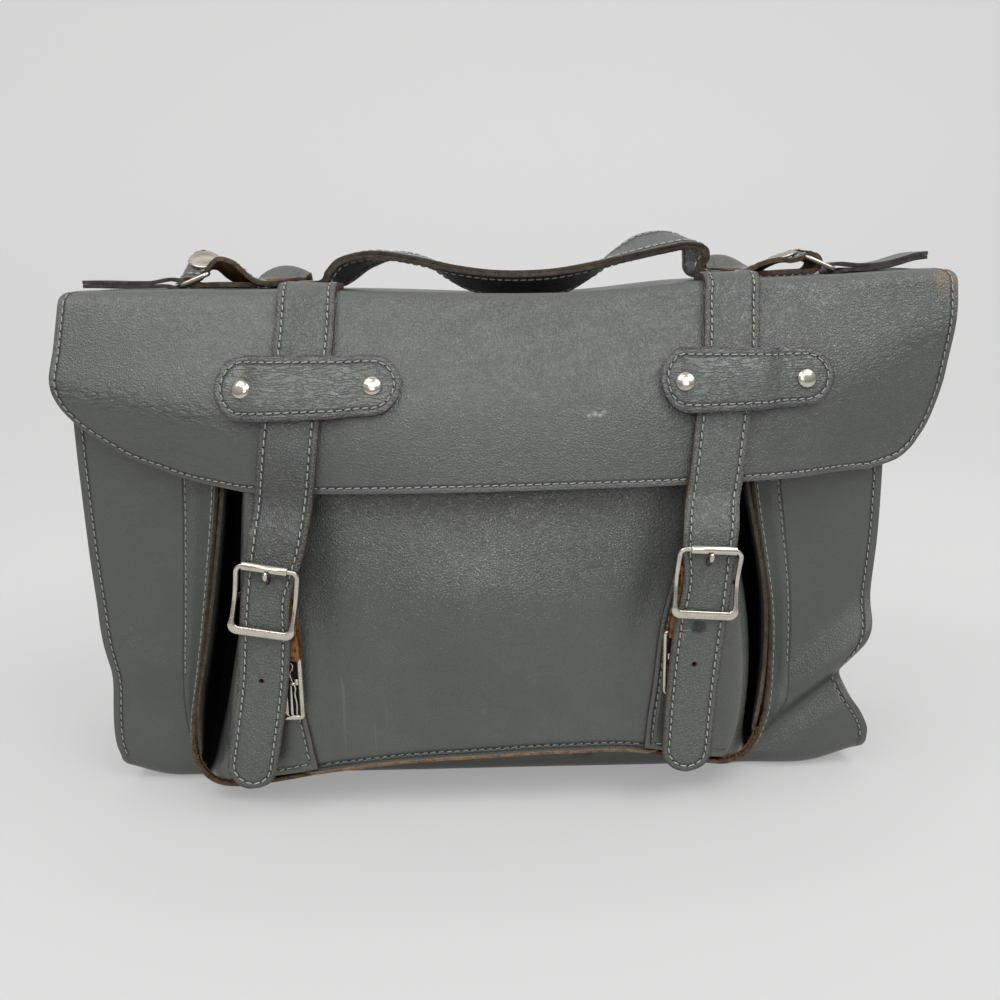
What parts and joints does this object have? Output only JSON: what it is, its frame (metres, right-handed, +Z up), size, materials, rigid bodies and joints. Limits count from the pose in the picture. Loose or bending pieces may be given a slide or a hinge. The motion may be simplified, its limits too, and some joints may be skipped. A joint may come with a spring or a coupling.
{
  "type": "leather satchel",
  "caption": "Soft grey leather satchel with a front flap closed by buckled straps, a bellows front pocket, a flat top handle and a shoulder strap hanging behind.",
  "frame": {"origin": "centre of the base on the floor, midway between the front and back panels", "axes": "+X to the bag's right as seen from the front, +Y to its back, +Z up; the front with the straps faces -Y"},
  "size_m": [0.426, 0.1765, 0.2759],
  "materials": {
    "grey_leather": "satin, soft, slightly creased",
    "strap_leather": "satin, pebbled",
    "raw_leather": "matt raw edge",
    "nickel": "polished nickel, lightly worn"
  },
  "bodies": {
    "root": {"front_panel": "grey_leather", "back_flap": "grey_leather", "gusset_left": "grey_leather", "gusset_right": "grey_leather", "pocket_panel": "grey_leather", "pocket_strip_left": "grey_leather", "pocket_strip_right": "grey_leather", "pocket_welt": "grey_leather", "strap_left": "strap_leather", "strap_right": "strap_leather", "keeper_left": "strap_leather", "keeper_right": "strap_leather", "handle": "strap_leather", "shoulder_strap": "strap_leather", "tab_left": "strap_leather", "tab_right": "strap_leather", "chape_left": "raw_leather", "chape_right": "raw_leather", "buckle_left": "nickel", "roller_left": "nickel", "prong_left": "nickel", "clasp_tray_left": "nickel", "clasp_hook_left": "nickel", "ring_left": "nickel", "stud_left": "nickel", "buckle_right": "nickel", "roller_right": "nickel", "prong_right": "nickel", "clasp_tray_right": "nickel", "clasp_hook_right": "nickel", "ring_right": "nickel", "stud_right": "nickel", "rivet_left_1": "nickel", "rivet_left_2": "nickel", "rivet_right_1": "nickel", "rivet_right_2": "nickel"}
  },
  "joints": []
}
